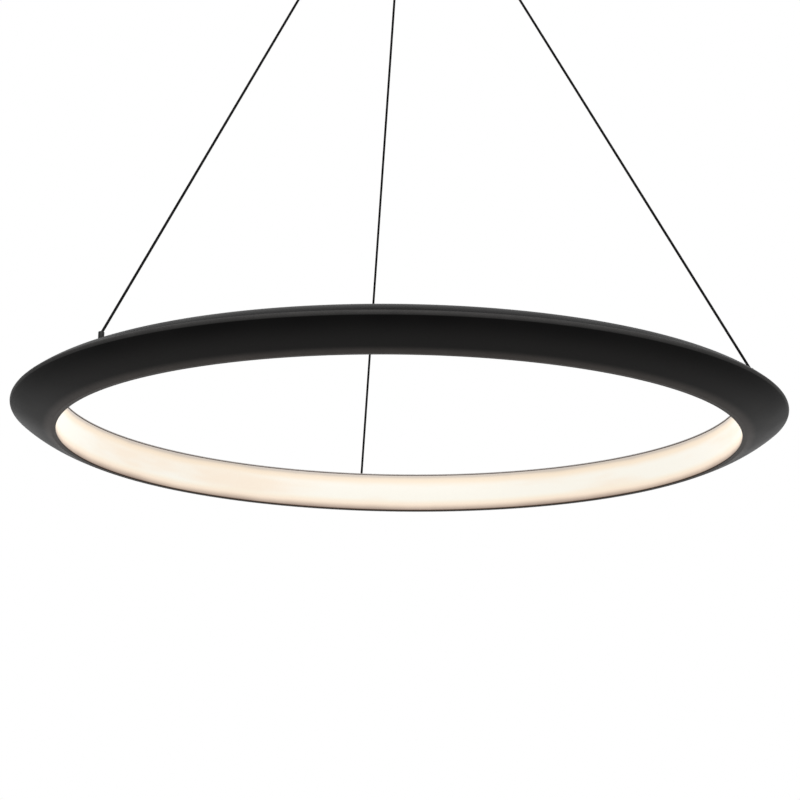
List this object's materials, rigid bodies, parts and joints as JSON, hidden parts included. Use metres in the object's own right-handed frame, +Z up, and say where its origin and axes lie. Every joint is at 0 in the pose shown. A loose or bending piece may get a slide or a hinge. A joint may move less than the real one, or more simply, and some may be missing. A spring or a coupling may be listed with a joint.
{
  "type": "led ring chandelier",
  "caption": "Suspended ring light: a dark wedge-section ring with a glowing inner band, hung on thin steel cables from a round ceiling canopy.",
  "frame": {"origin": "on the ring's axis in the plane of the ceiling, at the centre of the mounting bar's slots", "axes": "+Z up out of the ceiling face; +Y from the near side of the picture to the far side, through the first cable; +X to the right"},
  "size_m": [0.9144, 0.9144, 0.8],
  "materials": {
    "ring_paint": "extruded aluminium, dark grey satin powder coat",
    "opal_acrylic": "opal acrylic, lit from behind, warm white",
    "bare_aluminium": "plain rolled aluminium strip",
    "board_white": "white solder mask on a flexible board",
    "led_phosphor": "yellow phosphor in a white package",
    "anchor_metal": "turned, black anodised",
    "bush_plastic": "moulded nylon, insulates the live anchors",
    "zinc_steel": "zinc plated",
    "lead_insulation": "single insulated wire",
    "cable": "stranded steel with a thin black sheath",
    "canopy_paint": "spun steel, dark grey satin powder coat",
    "black_screws": "blackened",
    "driver_plastic": "potted supply in a pale case",
    "terminal_plastic": "moulded terminal block",
    "gripper_metal": "turned brass, black plated"
  },
  "bodies": {
    "canopy": {"ceiling_plate": "zinc_steel", "canopy": "canopy_paint", "canopy_screws": "black_screws", "driver_case": "driver_plastic", "driver_lid": "driver_plastic", "driver_nuts": "zinc_steel", "input_terminal": "terminal_plastic", "output_terminal": "terminal_plastic", "gripper_bodies": "gripper_metal", "gripper_nuts": "zinc_steel", "cable_tail_1": "cable", "cable_tail_2": "cable", "cable_tail_3": "cable", "tail_stop": "zinc_steel"},
    "ring": {"ring_housing": "ring_paint", "diffuser": "opal_acrylic", "led_carrier": "bare_aluminium", "carrier_gussets": "bare_aluminium", "carrier_screws": "zinc_steel", "led_boards": "board_white", "led_packages": "led_phosphor", "board_links": "terminal_plastic", "ring_anchors": "anchor_metal", "anchor_bushes": "bush_plastic", "anchor_nuts": "zinc_steel", "feed_leads": "lead_insulation", "cable_1": "cable", "cable_2": "cable", "cable_3": "cable"},
    "release_1": {"gripper_plunger_1": "gripper_metal"},
    "release_2": {"gripper_plunger_2": "gripper_metal"},
    "release_3": {"gripper_plunger_3": "gripper_metal"}
  },
  "joints": [
    {"name": "ring_height", "type": "slide", "parent": "canopy", "child": "ring", "axis": [0, 0, 1], "range_m": [0, 0.3], "deforming": ["cable_1", "cable_2", "cable_3"]},
    {"name": "gripper_release_1", "type": "slide", "parent": "canopy", "child": "release_1", "axis": [0, 0, 1], "range_m": [0, 0.0025], "stiffness_N_per_m": 800, "springref_m": -0.002},
    {"name": "gripper_release_2", "type": "slide", "parent": "canopy", "child": "release_2", "axis": [0, 0, 1], "range_m": [0, 0.0025], "stiffness_N_per_m": 800, "springref_m": -0.002},
    {"name": "gripper_release_3", "type": "slide", "parent": "canopy", "child": "release_3", "axis": [0, 0, 1], "range_m": [0, 0.0025], "stiffness_N_per_m": 800, "springref_m": -0.002}
  ]
}
